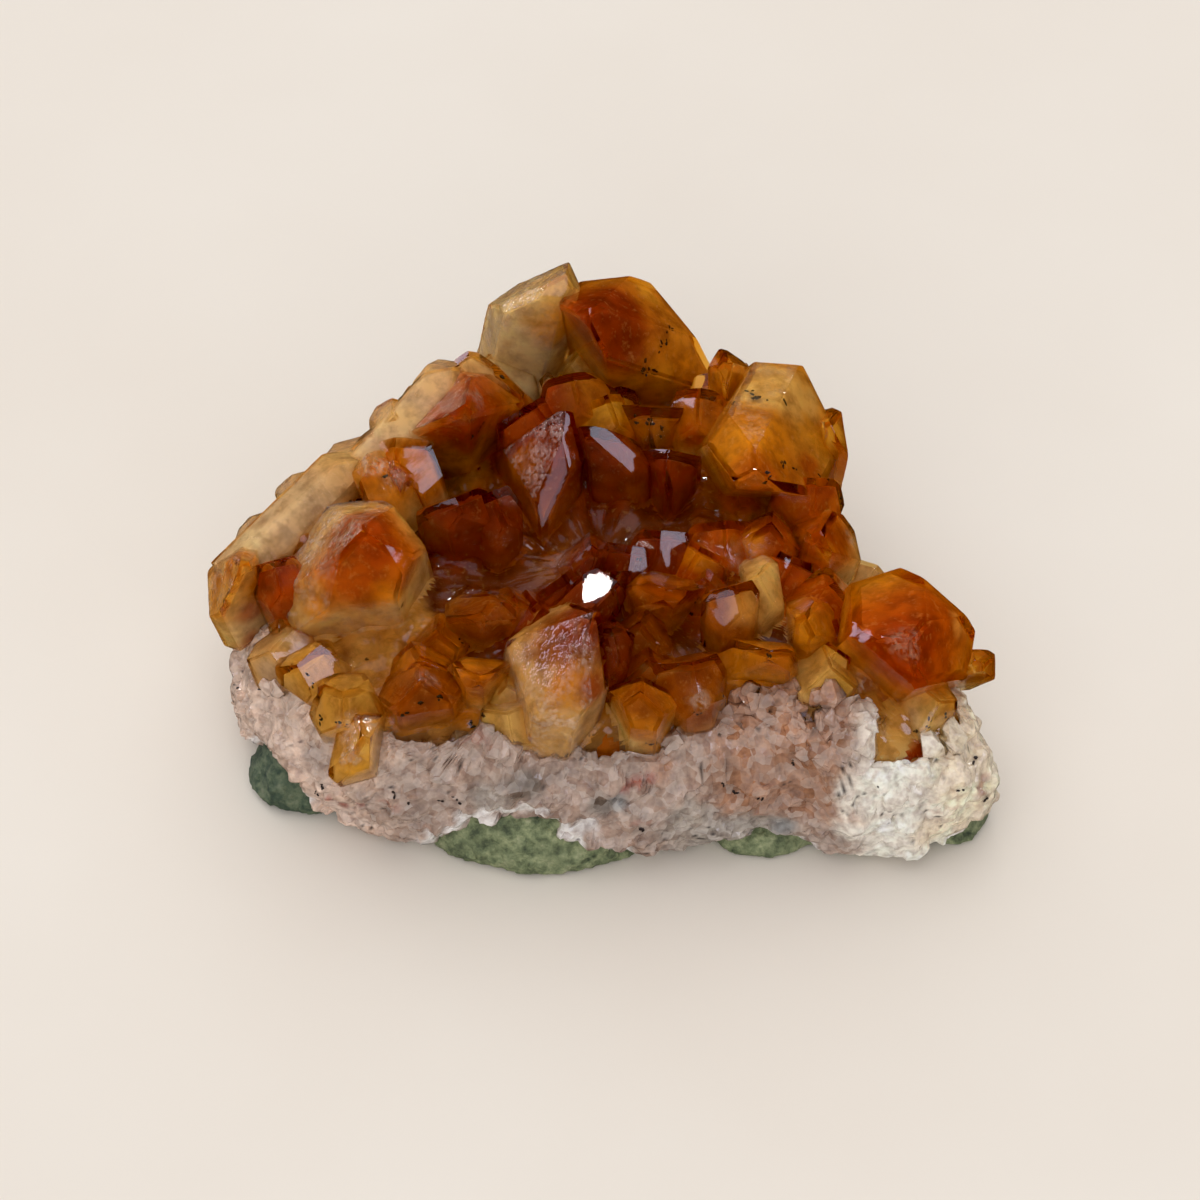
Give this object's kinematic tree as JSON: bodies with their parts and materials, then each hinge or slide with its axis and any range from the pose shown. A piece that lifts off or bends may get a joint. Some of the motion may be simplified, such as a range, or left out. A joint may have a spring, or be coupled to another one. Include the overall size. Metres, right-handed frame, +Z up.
{
  "type": "citrine on matrix",
  "caption": "Loose cluster of orange citrine crystals on pale milky quartz matrix with patches of green basalt rind underneath.",
  "frame": {"origin": "bottom centre of the object's box, on the surface that it rests on", "axes": "+Z up; +X along the longest extent, to the right in the picture; +Y away from the viewer"},
  "size_m": [0.094, 0.0736, 0.0384],
  "materials": {
    "citrine": "clear orange crystal with glossy and etched faces",
    "milky_quartz": "granular, milky, lavender-grey to beige",
    "basalt": "dull, fine-grained green"
  },
  "bodies": {
    "root": {"citrine_crystals": "citrine", "quartz_matrix": "milky_quartz", "basalt_rind": "basalt"}
  },
  "joints": []
}
